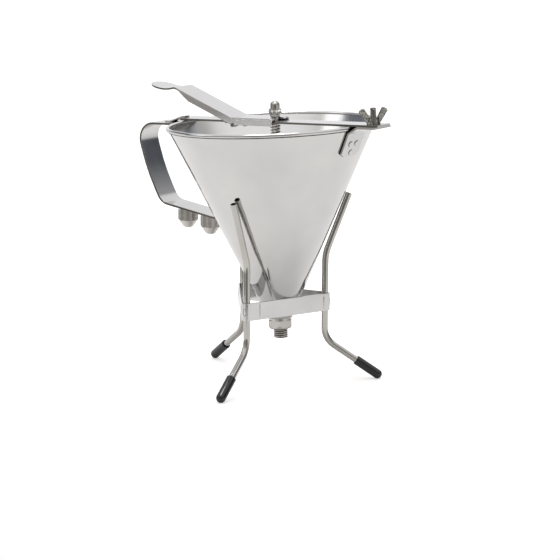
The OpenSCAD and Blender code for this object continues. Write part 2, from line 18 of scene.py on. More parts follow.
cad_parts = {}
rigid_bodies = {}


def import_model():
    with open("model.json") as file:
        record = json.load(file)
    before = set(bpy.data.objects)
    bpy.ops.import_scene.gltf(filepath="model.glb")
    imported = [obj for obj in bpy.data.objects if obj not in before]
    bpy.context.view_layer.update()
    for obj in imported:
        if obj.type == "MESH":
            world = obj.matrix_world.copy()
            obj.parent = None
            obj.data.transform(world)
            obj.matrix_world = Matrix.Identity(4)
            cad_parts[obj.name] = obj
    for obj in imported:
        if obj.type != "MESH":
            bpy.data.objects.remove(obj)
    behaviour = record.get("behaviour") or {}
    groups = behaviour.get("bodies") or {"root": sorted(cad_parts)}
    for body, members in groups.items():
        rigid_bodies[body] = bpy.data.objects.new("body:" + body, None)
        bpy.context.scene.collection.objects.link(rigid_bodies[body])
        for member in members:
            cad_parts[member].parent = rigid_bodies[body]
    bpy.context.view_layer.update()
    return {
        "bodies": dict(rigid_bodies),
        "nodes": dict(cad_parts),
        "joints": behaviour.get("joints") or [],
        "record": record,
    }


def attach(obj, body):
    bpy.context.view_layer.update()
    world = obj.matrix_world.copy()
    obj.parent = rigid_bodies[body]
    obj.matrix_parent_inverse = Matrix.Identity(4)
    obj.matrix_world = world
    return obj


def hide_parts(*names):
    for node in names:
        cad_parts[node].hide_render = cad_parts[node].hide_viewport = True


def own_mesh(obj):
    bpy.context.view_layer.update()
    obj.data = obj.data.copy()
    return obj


LOG = logging.getLogger("dispenser")
MM = 0.001
Vec = Sequence[float]
Rgb = tuple[float, float, float]
Piece = bpy.types.Object
Face = bpy.types.MeshPolygon
Corner = bmesh.types.BMVert
Material = bpy.types.Material
Socket = bpy.types.NodeSocket

UP = Vector((0.0, 0.0, 1.0))
CAD_GAP = 0.004 * MM  # corners of CAD triangles that are nearer than this are one
OWN_GAP = 0.005 * MM  # the same for the ends of a new piece
FLAT = math.radians(0.6)  # faces that meet at less than this are one face
ROUND = 60.0  # shading angle of a round piece, in degrees
CRISP = 50.0  # the same for a piece with rounded edges
SHARP = 40.0  # the same for a piece with some sharp corners
SIDEWAYS = 0.8  # how far along Y a strip's cut edge faces, at least
RIDGE_HALF = 0.46  # half of a thread ridge's foot, as a share of the pitch


# ---------- places ----------


def shift(x: float = 0.0, y: float = 0.0, z: float = 0.0) -> Matrix:
    """A move, given in millimetres."""
    return Matrix.Translation(Vector((x, y, z)) * MM)


@dataclass(frozen=True)
class Layout:
    """Where the funnel, its rod and the legs stand, in mm and degrees, as the CAD has them."""

    rim_centre: Vec = (10.88, 3.2, 234.2)
    rim_radius: float = 93.3
    cone_angle: float = 25.1
    lean: float = 3.4
    rod_lean: float = 1.3
    rod_foot: float = -178.5
    stand_axis: Vec = (12.78, 1.63)
    stand_turn: float = 40.0
    leg_step: float = 120.0

    def funnel(self) -> Matrix:
        """Funnel's own frame, in metres: the rim's centre, with Z up the leaning axis."""
        return shift(*self.rim_centre) @ Matrix.Rotation(math.radians(-self.lean), 4, "Y")

    def rod(self) -> Matrix:
        """The leaning rod's frame, which shares the funnel's heights."""
        turn = Matrix.Rotation(math.radians(self.rod_lean), 4, "Y")
        return self.funnel() @ shift(z=self.rod_foot) @ turn @ shift(z=-self.rod_foot)

    def cone_at(self, height: float) -> float:
        """Outer radius of the cone at a height from the rim, both in mm."""
        return self.rim_radius + height * math.tan(math.radians(self.cone_angle))

    def leg(self, index: int) -> Matrix:
        """A leg's frame: +X points from the stand's axis to the leg.

        Args:
            index: 0 for the right leg, 1 for the back one, 2 for the front one.

        Returns:
            The frame's matrix, in metres.
        """
        x, y = self.stand_axis
        turn = math.radians(self.stand_turn + self.leg_step * index)
        return shift(x, y) @ Matrix.Rotation(turn, 4, "Z")


LAYOUT = Layout()


# ---------- modelling tools ----------


def select_only(*objects: Piece) -> None:
    """Selects these objects and nothing else, with the first one active."""
    if bpy.context.mode != "OBJECT":
        bpy.ops.object.mode_set(mode="OBJECT")
    bpy.ops.object.select_all(action="DESELECT")
    for item in objects:
        item.select_set(True)
    bpy.context.view_layer.objects.active = objects[0]


def edit(item: Piece) -> None:
    """Opens an object in edit mode, with all of it selected."""
    select_only(item)
    bpy.ops.object.mode_set(mode="EDIT")
    bpy.ops.mesh.select_all(action="SELECT")


def close_edit() -> None:
    """Goes back to object mode."""
    bpy.ops.object.mode_set(mode="OBJECT")


def pick(item: Piece, kind: str, wanted: Callable[..., bool]) -> None:
    """Selects the corners or edges of a piece in edit mode for which a test holds.

    Args:
        item: the piece being edited.
        kind: VERT or EDGE.
        wanted: the test, given a corner or an edge.
    """
    bpy.ops.mesh.select_mode(type=kind)
    bpy.ops.mesh.select_all(action="DESELECT")
    mesh = bmesh.from_edit_mesh(item.data)
    for part in mesh.verts if kind == "VERT" else mesh.edges:
        if wanted(part):
            part.select_set(True)
    bmesh.update_edit_mesh(item.data)


def bake_place() -> None:
    """Moves the place, turn and size of the selected object into its mesh."""
    bpy.ops.object.transform_apply(location=True, rotation=True, scale=True)


def rename(item: Piece, name: str) -> Piece:
    """Names an object and its mesh."""
    item.name = name
    item.data.name = name
    return item


def primitive(name: str, add: Callable[..., object], **values: object) -> Piece:
    """Adds a mesh primitive with nothing else selected.

    Args:
        name: the piece's name.
        add: the operator that adds it.
        values: the operator's settings, in metres and radians.

    Returns:
        The piece, with its place in its mesh.
    """
    bpy.ops.object.select_all(action="DESELECT")
    add(**values)
    bake_place()
    return rename(bpy.context.active_object, name)


def put(item: Piece, frame: Matrix) -> Piece:
    """Moves a piece's mesh from its own frame to its place. Its object stays at the origin."""
    select_only(item)
    item.matrix_world = frame
    bake_place()
    return item


def apply_modifier(item: Piece, kind: str, **values: object) -> None:
    """Adds a modifier with these values to an object, and applies it."""
    select_only(item)
    modifier = item.modifiers.new(kind.lower(), kind)
    for key, value in values.items():
        setattr(modifier, key, value)
    bpy.ops.object.modifier_apply(modifier=modifier.name)


def shade(item: Piece, angle: float) -> None:
    """Smooths an object's shading wherever its faces meet at less than an angle in degrees."""
    select_only(item)
    bpy.ops.object.shade_smooth_by_angle(angle=math.radians(angle))


def torus(name: str, major: float, minor: float, segments: int, sides: int,
          turn: Vec = (0, 0, 0)) -> Piece:
    """Adds a torus at the origin, with its radii in mm and its turn in radians."""
    return primitive(name, bpy.ops.mesh.primitive_torus_add, major_radius=major * MM,
                     minor_radius=minor * MM, major_segments=segments, minor_segments=sides,
                     rotation=turn)


def cylinder(name: str, sides: int, radius: float, depth: float, middle: float = 0.0) -> Piece:
    """Adds a cylinder about Z, with its sizes and its middle's height in mm."""
    return primitive(name, bpy.ops.mesh.primitive_cylinder_add, vertices=sides,
                     radius=radius * MM, depth=depth * MM, location=(0, 0, middle * MM))


def ball(name: str, segments: int) -> Piece:
    """Adds a ball with a radius of 1 mm, ready to be stretched."""
    return primitive(name, bpy.ops.mesh.primitive_uv_sphere_add, segments=segments,
                     ring_count=16, radius=MM)


def reshape(item: Piece, size: Vec | None = None, rough: float = 0.0, even: float = 0.0,
            seed: int = 0) -> None:
    """Stretches a piece about its middle, moves its corners at random and smooths its light.

    Args:
        item: the piece.
        size: how much larger it gets along each axis.
        rough: how far its corners may move, in mm.
        even: how even these moves are, from 0 to 1.
        seed: the random numbers' seed.
    """
    edit(item)
    if size:
        bpy.ops.transform.resize(value=size)
    if rough:
        bpy.ops.transform.vertex_random(offset=rough * MM, uniform=even, normal=1.0, seed=seed)
    close_edit()
    shade(item, ROUND)


def close_up(item: Piece) -> None:
    """Closes a piece's open ends and turns all its faces outwards."""
    edit(item)
    bpy.ops.mesh.remove_doubles(threshold=OWN_GAP)
    bpy.ops.mesh.fill_holes(sides=0)
    bpy.ops.mesh.normals_make_consistent(inside=False)
    close_edit()


def clear_finish(item: Piece, material: Material) -> None:
    """Gives a piece one material all over."""
    item.data.materials.clear()
    item.data.materials.append(material)


def refinish(item: Piece, material: Material, wanted: Callable[[Face], bool]) -> None:
    """Gives a piece's faces a second finish where a test holds."""
    item.data.materials.append(material)
    for face in item.data.polygons:
        if wanted(face):
            face.material_index = 1


def shade_cut_edges(item: Piece, material: Material) -> None:
    """Gives the sheared side edges of a strip, which face along Y, a finish of their own, whose dark
    colour is painted shade.
    """
    refinish(item, material, lambda face: abs(face.normal.y) > SIDEWAYS)


def helix(name: str, radius: float, section: tuple[float, float], pitch: float, turns: int,
          low: float, corners: int, steps: int) -> Piece:
    """Models a bar wound round Z, such as a spring's wire or a thread's ridge.

    Args:
        name: the piece's name.
        radius: from the axis to the middle of the bar, in mm.
        section: half of the bar's size, outwards and upwards, in mm.
        pitch: height of one turn, in mm.
        turns: number of whole turns.
        low: height of the bar's start, in mm.
        corners: corners round the bar; 4 give it a sharp crest.
        steps: steps round one turn.

    Returns:
        The closed mesh object, still in its own frame.
    """
    item = primitive(name, bpy.ops.mesh.primitive_circle_add, vertices=corners, radius=MM,
                     fill_type="NOTHING", rotation=(math.pi / 2, 0, 0))
    put(item, shift(radius, 0, low) @ Matrix.Diagonal((section[0], 1.0, section[1], 1.0)))
    apply_modifier(item, "SCREW", axis="Z", angle=math.tau, screw_offset=pitch * MM,
                   iterations=turns, steps=steps, render_steps=steps, use_normal_calculate=True)
    close_up(item)
    shade(item, CRISP)
    return item


def ridge(name: str, core: float, crest: float, pitch: float, turns: int, start: float,
          ends: tuple[float, float], steps: int) -> Piece:
    """Winds a thread's sharp ridge and cuts its two ends off level. Sizes in mm.

    Args:
        name: the piece's name.
        core: radius at the ridge's foot.
        crest: radius at the ridge's crest.
        pitch: height of one turn.
        turns: number of whole turns before the cuts.
        start: height of the ridge's start.
        ends: heights of the two cuts, lower one first.
        steps: steps round one turn.

    Returns:
        The ridge, still in its own frame.
    """
    item = helix(name, core, (crest - core, pitch * RIDGE_HALF), pitch, turns, start, 4, steps)
    for height, upper in zip(ends, (False, True)):
        edit(item)
        bpy.ops.mesh.bisect(plane_co=(0, 0, height * MM), plane_no=UP, use_fill=True,
                            clear_inner=not upper, clear_outer=upper)
        close_edit()
    return item


def joined(name: str, *items: Piece) -> Piece:
    """Makes one object of several.

    Args:
        name: the object's name.
        items: the objects, of which the first one lives on.

    Returns:
        The joined object.
    """
    select_only(*items)
    bpy.ops.object.join()
    return rename(items[0], name)


def ring_bead(name: str, radius: float, height: float, thick: float, rough: float = 0.12,
              half_angle: float = 180.0, middle: float = 0.0) -> Piece:
    """Models a weld bead, or a dark line of painted shadow in a crease, that runs round the funnel's
    axis.

    Args:
        name: the piece's name.
        radius: from the axis to the middle of the bead, in mm.
        height: its height in the funnel's frame, in mm.
        thick: the bead's radius, in mm.
        rough: how far its ripples stray, in mm.
        half_angle: half of its sweep, in degrees.
        middle: direction of its middle, in degrees from +X.

    Returns:
        The bead, at its place.
    """
    start = math.radians(middle + half_angle)
    item = primitive(
        name, bpy.ops.mesh.primitive_circle_add, vertices=10, radius=thick * MM, fill_type="NGON",
        location=(radius * math.cos(start) * MM, radius * math.sin(start) * MM, height * MM),
        rotation=(math.pi / 2, 0, start))
    edit(item)
    bpy.ops.mesh.spin(steps=36, angle=math.radians(2 * half_angle), center=(0, 0, 0), axis=UP)
    close_edit()
    reshape(item, rough=rough, even=0.2, seed=3)
    close_up(item)
    shade(item, ROUND)
    return put(item, LAYOUT.funnel())


def merged_copy(source: Piece, name: str) -> Piece:
    """Copies a CAD piece, with its loose triangles joined up, to an object of its own."""
    select_only(source)
    bpy.ops.object.duplicate()
    item = rename(bpy.context.active_object, name)
    item.parent = None
    item.matrix_world = Matrix.Identity(4)
    edit(item)
    bpy.ops.mesh.remove_doubles(threshold=CAD_GAP)
    close_edit()
    return item


def crisp_edges(item: Piece, edge: float, angle: float, segments: int = 2) -> None:
    """Rounds a piece's sharp edges, and keeps its flat faces flat in the light.

    Args:
        item: the piece.
        edge: how far the rounding reaches in from an edge, in mm.
        angle: edges sharper than this are rounded, in degrees.
        segments: steps across the rounding.
    """
    edit(item)
    bpy.ops.mesh.dissolve_limited(angle_limit=FLAT)
    close_edit()
    apply_modifier(item, "BEVEL", width=edge * MM, segments=segments, limit_method="ANGLE",
                   angle_limit=math.radians(angle), use_clamp_overlap=True, harden_normals=False)
    shade(item, CRISP)
    apply_modifier(item, "WEIGHTED_NORMAL", mode="FACE_AREA", weight=80, keep_sharp=True)


def round_folds(item: Piece, radius: float) -> None:
    """Rounds the long folds of a sheet piece, where its top turns down into its two sides.

    Args:
        item: the piece, a merged copy.
        radius: the fold's outer radius, in mm.
    """
    shortest, sideways, upwards = 4 * MM, 0.95, 0.5

    def is_fold(line: bmesh.types.BMEdge) -> bool:
        """Tells a long edge between the top and a side."""
        if len(line.link_faces) != 2 or line.calc_length() <= shortest:
            return False
        top, side = sorted(line.link_faces, key=lambda face: abs(face.normal.y))
        return abs(side.normal.y) > sideways and top.normal.z > upwards and line.is_convex

    edit(item)
    bpy.ops.mesh.dissolve_limited(angle_limit=FLAT)
    pick(item, "EDGE", is_fold)
    bpy.ops.mesh.bevel(offset=radius * MM, segments=5, affect="EDGES", clamp_overlap=True)
    close_edit()


# ---------- finishes ----------


class Grain(Enum):
    """Which way a metal's fine lines run."""

    RINGS = "rings round the piece's axis"
    STRIP = "lines along a strip"
    TUBE = "lines along a tube, no fixed side"
    NONE = "no lines"


class Nodes:
    """A short way to write a material's node tree."""

    def __init__(self, name: str, world: bpy.types.World | None = None) -> None:
        """Makes a new material with a Principled shader, or takes over a world's empty tree."""
        if world is not None:
            world.use_nodes = True
            self.tree = world.node_tree
            self.tree.nodes.clear()
            return
        self.material = bpy.data.materials.new(name)
        self.material.use_nodes = True
        self.tree = self.material.node_tree
        self.shader = self.tree.nodes["Principled BSDF"]

    def add(self, kind: str, inputs: dict[str | int, object] | None = None,
            **settings: object) -> bpy.types.Node:
        """Adds a node.

        Args:
            kind: the node's type, without the word ShaderNode.
            inputs: a socket's name or number, to a value or to an output to link.
            settings: the node's own properties.

        Returns:
            The node.
        """
        node = self.tree.nodes.new("ShaderNode" + kind)
        for key, value in settings.items():
            setattr(node, key, value)
        self.feed(node, inputs or {})
        return node

    def feed(self, node: bpy.types.Node, inputs: dict[str | int, object]) -> None:
        """Sets a node's sockets to values, or links outputs to them."""
        for key, value in inputs.items():
            if isinstance(value, Socket):
                self.tree.links.new(value, node.inputs[key])
            else:
                node.inputs[key].default_value = value

    def place(self, turn: Vec = (0, 0, 0), centre: Vec = (0, 0, 0)) -> Socket:
        """Object coordinates, moved so that a piece's centre is at zero and then turned."""
        place = self.add("TexCoord").outputs["Object"]
        for key, value in (("Location", [-v for v in centre]),
                           ("Rotation", [math.radians(v) for v in turn])):
            node = self.add("Mapping", {"Vector": place, key: value}, vector_type="POINT")
            place = node.outputs[0]
        return place

    def math(self, operation: str, first: object, second: object) -> Socket:
        """The sum or the product of two values."""
        return self.add("Math", {0: first, 1: second}, operation=operation).outputs[0]

    def level(self, vector: Socket) -> Socket:
        """A vector without its height."""
        return self.add("VectorMath", {0: vector, 1: (1, 1, 0)}, operation="MULTIPLY").outputs[0]

    def noise(self, vector: Socket, scale: float, detail: float = 3.0,
              rough: float = 0.5) -> Socket:
        """A 3-D noise's value at a place."""
        return self.add("TexNoise", {"Vector": vector, "Scale": scale, "Detail": detail,
                                     "Roughness": rough}).outputs["Fac"]

    def lines(self, along: Socket, scale: float) -> Socket:
        """A 1-D noise's value, which draws lines across the given direction."""
        return self.add("TexNoise", {"W": along, "Scale": scale, "Detail": 2.0},
                        noise_dimensions="1D").outputs["Fac"]

    def span(self, value: Socket, low: float, high: float, start: float = 0.3,
             end: float = 0.7) -> Socket:
        """A value spread over a new range."""
        return self.add("MapRange", {"Value": value, "From Min": start, "From Max": end,
                                     "To Min": low, "To Max": high}).outputs["Result"]

    def blend(self, factor: Socket, first: Rgb, second: Rgb) -> Socket:
        """A colour between two colours, in cloudy patches."""
        ramp = self.add("ValToRGB", {"Fac": self.span(factor, 0.0, 1.0)})
        ramp.color_ramp.elements[0].color = (*first, 1.0)
        ramp.color_ramp.elements[1].color = (*second, 1.0)
        return ramp.outputs["Color"]

    def bump(self, height: Socket, distance: float, strength: float,
             below: Socket | None = None) -> Socket:
        """A bumped normal, laid over another one if that is given. Distance is in mm."""
        inputs: dict[str | int, object] = {"Height": height, "Distance": distance * MM,
                                           "Strength": strength}
        if below is not None:
            inputs["Normal"] = below
        return self.add("Bump", inputs).outputs["Normal"]


@dataclass(frozen=True)
class MetalFinish:
    """A polished, brushed, turned or cast metal surface.

    Scales are per metre and depths in mm. A groove is given by the radii of a thread's foot and
    crest, between which painted shade fades from full at the foot to none at the crest.
    """

    name: str
    light: Rgb
    dark: Rgb
    polish: tuple[float, float]
    grain: Grain = Grain.NONE
    line_scale: float = 2600.0
    line_depth: float = 0.002
    broad_lines: float = 9.0
    cloud_scale: float = 28.0
    wear_scale: float = 5.0
    pit_scale: float = 900.0
    pit_depth: float = 0.001
    groove_shade: float = 0.1
    turn: Vec = (0, 0, 0)
    centre: Vec = (0, 0, 0)
    groove: tuple[float, float] | None = None

    def build(self) -> Material:
        """Makes the material.

        Returns:
            The material, with cloudy colour and polish, and fine lines in the surface.
        """
        n = Nodes(self.name)
        place = n.place(self.turn, self.centre)
        colour = n.blend(n.noise(place, self.cloud_scale, 4.0), self.dark, self.light)
        # Painted shade in a thread's grooves: the colour darkens towards the ridge's foot.
        if self.groove:
            out = n.add("VectorMath", {0: n.level(place)}, operation="LENGTH").outputs["Value"]
            foot, crest = (radius * MM for radius in self.groove)
            deep = n.span(out, self.groove_shade, 1.0, foot, crest)
            colour = n.add("VectorMath", {0: colour, "Scale": deep}, operation="SCALE").outputs[0]
        normal = n.bump(n.noise(place, self.pit_scale, 2.0), self.pit_depth, 0.5)
        wear = n.noise(place, self.cloud_scale * self.wear_scale, 3.0)
        if self.grain is not Grain.NONE:
            axes = n.add("SeparateXYZ", {"Vector": place}).outputs
            along = axes["Z" if self.grain is Grain.RINGS else "Y"]
            if self.grain is Grain.TUBE:
                along = n.math("ADD", axes["X"], axes["Y"])
            broad = n.lines(along, self.line_scale / self.broad_lines)
            normal = n.bump(n.lines(along, self.line_scale), self.line_depth, 0.5, normal)
            normal = n.bump(broad, self.line_depth * 2, 0.35, normal)
            wear = n.math("MULTIPLY", n.math("ADD", wear, broad), 0.5)
        n.feed(n.shader, {"Metallic": 1.0, "Base Color": colour, "Normal": normal,
                          "Roughness": n.span(wear, *self.polish)})
        return n.material


@dataclass(frozen=True)
class VinylFinish:
    """Glossy dipped vinyl, a little uneven."""

    name: str = "black_vinyl"
    colour: Rgb = (0.006, 0.0065, 0.007)
    worn: Rgb = (0.013, 0.0135, 0.0145)
    polish: tuple[float, float] = (0.08, 0.13)
    gloss: float = 0.6

    def build(self) -> Material:
        """Makes the material."""
        n = Nodes(self.name)
        place = n.place()
        waves = n.bump(n.noise(place, 90.0, 1.0), 0.08, 0.3)
        n.feed(n.shader, {"Base Color": n.blend(n.noise(place, 120.0, 4.0), self.colour, self.worn),
                          "Roughness": n.span(n.noise(place, 400.0), *self.polish),
                          "Specular IOR Level": self.gloss,
                          "Normal": n.bump(n.noise(place, 2200.0), 0.002, 0.3, waves)})
        return n.material


@dataclass(frozen=True)
class WeldFinish:
    """A weld bead with ripples and a heat tint."""

    name: str = "weld"
    tint: Rgb = (0.36, 0.31, 0.26)
    clean: Rgb = (0.55, 0.53, 0.50)
    polish: tuple[float, float] = (0.3, 0.5)

    def build(self) -> Material:
        """Makes the material."""
        n = Nodes(self.name)
        place = n.place()
        cloud = n.noise(place, 320.0, 4.0)
        n.feed(n.shader, {"Base Color": n.blend(cloud, self.tint, self.clean), "Metallic": 1.0,
                          "Roughness": n.span(cloud, *self.polish),
                          "Normal": n.bump(n.noise(place, 900.0), 0.15, 0.6)})
        return n.material


def metal(name: str, light: Rgb, dark: Rgb, polish: tuple[float, float],
          **values: object) -> Material:
    """Makes the material of a metal finish, with the values that MetalFinish takes."""
    return MetalFinish(name, light, dark, polish, **values).build()


class Finishes:
    """All the object's finishes, each made once."""

    def __init__(self) -> None:
        """Makes the materials."""
        upright = (0, LAYOUT.lean, 0)
        round_axis = {"centre": tuple(v * MM for v in LAYOUT.rim_centre), "turn": upright}
        stud = tuple(LAYOUT.funnel() @ Vector((ClampEnd.stud_x * MM, 0, 0)))
        self.cone = metal("spun_steel", (0.65, 0.64, 0.63), (0.575, 0.57, 0.57), (0.03, 0.06),
                          grain=Grain.RINGS, **round_axis, cloud_scale=17.0)
        self.cone_inside = metal("drawn_steel", (0.76, 0.75, 0.74), (0.70, 0.695, 0.69),
                                 (0.17, 0.24), grain=Grain.RINGS, **round_axis, cloud_scale=14.0)
        self.strip = metal("strip_steel", (0.62, 0.615, 0.61), (0.585, 0.575, 0.57), (0.16, 0.24),
                           grain=Grain.STRIP)
        self.lever = metal("pressed_steel", (0.68, 0.675, 0.68), (0.64, 0.635, 0.635), (0.2, 0.28),
                           grain=Grain.STRIP)
        self.tube = metal("tube_steel", (0.52, 0.51, 0.49), (0.44, 0.425, 0.40), (0.06, 0.12),
                          grain=Grain.TUBE, line_scale=1800.0)
        self.band = metal("band_steel", (0.64, 0.64, 0.635), (0.59, 0.585, 0.58), (0.14, 0.22),
                          grain=Grain.RINGS)
        self.turned = metal("turned_steel", (0.56, 0.545, 0.52), (0.47, 0.455, 0.43), (0.12, 0.22),
                            grain=Grain.RINGS, line_scale=1500.0)
        self.nozzle = metal("nozzle_steel", (0.60, 0.575, 0.555), (0.50, 0.48, 0.46), (0.2, 0.28))
        # The thread's and the stud's colours carry painted shade in their grooves.
        self.thread = metal("thread_steel", (0.86, 0.84, 0.8), (0.74, 0.72, 0.68), (0.16, 0.24),
                            **round_axis, groove=(5.75, 6.65))
        self.stud = metal("stud_steel", (0.85, 0.83, 0.79), (0.7, 0.68, 0.64), (0.12, 0.2),
                          centre=stud, turn=upright, groove=(2.5, 2.9))
        self.nut = metal("nut_steel", (0.62, 0.61, 0.575), (0.22, 0.215, 0.2), (0.04, 0.1),
                         cloud_scale=420.0)
        self.cast = metal("cast_metal", (0.54, 0.53, 0.49), (0.07, 0.069, 0.063), (0.08, 0.18),
                          cloud_scale=650.0, pit_scale=1100.0, pit_depth=0.2)
        # Cut edges: a rougher polish, and a dark colour that is painted shade and painted dark
        # reflection on the thin edges.
        self.edge = metal("sheared_steel_painted_shade", (0.23, 0.225, 0.205), (0.15, 0.145, 0.13), (0.25, 0.35))
        # Dark lines in the creases at the rim's roll, the hexagon and the rivet heads: painted
        # shadow.
        self.painted_shadow = metal("seam_shadow", (0.2, 0.19, 0.18), (0.12, 0.115, 0.11), (0.3, 0.4))
        self.wire = metal("spring_wire", (0.50, 0.46, 0.41), (0.36, 0.32, 0.27), (0.18, 0.3),
                          cloud_scale=200.0)
        self.rod = metal("rod_steel", (0.62, 0.61, 0.59), (0.54, 0.53, 0.51), (0.08, 0.16),
                         grain=Grain.RINGS)
        self.vinyl = VinylFinish().build()
        self.weld = WeldFinish().build()


# ---------- the object's sub-assemblies ----------


@dataclass
class Assembly:
    """What each sub-assembly is given: the CAD pieces and the finishes."""

    nodes: dict[str, Piece]
    finishes: Finishes

    def dress(self, material: Material, *names: str) -> None:
        """Gives CAD pieces a finish.

        Args:
            material: the finish.
            names: the CAD pieces.
        """
        for name in names:
            for held in self.nodes[name].material_slots:
                held.material = material
            LOG.info("%s: finish %s", name, material.name)

    def keep(self, item: Piece, material: Material, body: str, slot: str,
             *stands_for: str) -> Piece:
        """Finishes a new piece and fixes it to its body.

        Args:
            item: the piece, at its place.
            material: its finish.
            body: the body that it rides on.
            slot: the record's material slot; not used.
            stands_for: CAD pieces that it replaces.

        Returns:
            The piece.
        """
        clear_finish(item, material)
        if stands_for:
            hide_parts(*stands_for)
        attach(item, body)
        LOG.info("%s: %d faces, rides on %s", item.name, len(item.data.polygons), body)
        return item

    def round_off(self, node: str, body: str, slot: str, edge: float, material: Material,
                  angle: float = 40.0, fold: float = 0.0) -> Piece:
        """Stands a copy with rounded edges in the place of a CAD piece.

        Args:
            node: the piece to copy.
            body: the body that it rides on.
            slot: the record's material slot.
            edge: how far the rounding reaches in from an edge, in mm.
            material: the copy's finish.
            angle: edges sharper than this are rounded, in degrees.
            fold: outer radius of the piece's long folds, in mm, if it has any.

        Returns:
            The copy.
        """
        item = merged_copy(self.nodes[node], f"{node}_rounded")
        if fold:
            round_folds(item, fold)
        crisp_edges(item, edge, angle)
        return self.keep(item, material, body, slot, node)


@dataclass
class TubeStand(Assembly):
    """Three bent tubes in a welded band, with dipped feet. Sizes in mm."""

    cap_radius: float = 4.3
    cap_length: float = 27.8
    lip_radius: float = 3.72
    lip_roll: float = 0.62
    lip_inset: float = 0.3
    foot_ring: float = 97.0
    foot_slope: float = 34.5
    tube_radius: float = 3.0
    leg_ring: float = 48.4
    band_middle: float = 72.6
    band_wall: float = 1.5
    band_flat: float = 60.0  # which way a flat of the band faces from a leg, in degrees
    weld_roll: float = 0.16
    weld_shape: Vec = (2.0, 1.35, 3.3)
    weld_sink: float = 0.12
    seam_shape: Vec = (0.3, 0.95, 7.2)
    seam_sink: float = 0.02
    seams: tuple[tuple[int, float], ...] = ((1, 11.0), (-1, 4.2))  # side, way along the flat

    def build(self) -> None:
        """Dresses the tubes and adds the caps' lips and the band's welds."""
        f = self.finishes
        self.dress(f.tube, "leg_front", "leg_right", "leg_back")
        self.dress(f.vinyl, "foot_cap_front", "foot_cap_right", "foot_cap_back")
        self.round_off("leg_band", "stand", "bright_steel", 0.2, f.band)
        for index, side in enumerate(("right", "back", "front")):
            self.cap_lip(index, side)
            self.spot_weld(index, side)
            for number, (hand, along) in enumerate(self.seams):
                seam = ball(f"band_seam_{side}_{number}", 24)
                reshape(seam, self.seam_shape, 0.07, 0.3, index + number)
                put(seam, self.seam_place(index, hand, along))
                self.keep(seam, f.turned, "stand", "tube_steel")

    def cap_lip(self, index: int, side: str) -> None:
        """Adds the thick rolled lip at a foot cap's open end."""
        lip = torus(f"cap_lip_{side}", self.lip_radius, self.lip_roll, 48, 14)
        reshape(lip, rough=0.05, even=0.1, seed=index)
        place = LAYOUT.leg(index) @ shift(self.foot_ring, 0, self.cap_radius)
        place = place @ Matrix.Rotation(math.radians(self.foot_slope - 90), 4, "Y")
        place = place @ shift(z=self.cap_length - self.cap_radius - self.lip_inset)
        self.keep(put(lip, place), self.finishes.vinyl, "stand", "black_vinyl")

    def spot_weld(self, index: int, side: str) -> None:
        """Adds the oval ring that a welding tip leaves on the band's corner."""
        ring = torus(f"band_weld_{side}", 1.0, self.weld_roll, 40, 10, (0, math.pi / 2, 0))
        reshape(ring, self.weld_shape)
        out = self.leg_ring + self.tube_radius + self.band_wall - self.weld_sink
        place = LAYOUT.leg(index) @ shift(out, 0, self.band_middle)
        self.keep(put(ring, place), self.finishes.nut, "stand", "tube_steel")

    def seam_place(self, index: int, hand: int, along: float) -> Matrix:
        """Where an upright seam stands on a flat of the band.

        Args:
            index: the leg's number.
            hand: 1 or -1, for the flat on one side of the leg or the other.
            along: how far from the leg the seam is, in mm.

        Returns:
            The place, with +X out of the flat.
        """
        wall = math.radians(self.band_flat * hand)
        run = wall + math.radians(90 * hand)
        off = self.tube_radius + self.band_wall - self.seam_sink
        x = self.leg_ring + along * math.cos(run) + off * math.cos(wall)
        y = along * math.sin(run) + off * math.sin(wall)
        place = LAYOUT.leg(index) @ shift(x, y, self.band_middle)
        return place @ Matrix.Rotation(wall, 4, "Z")


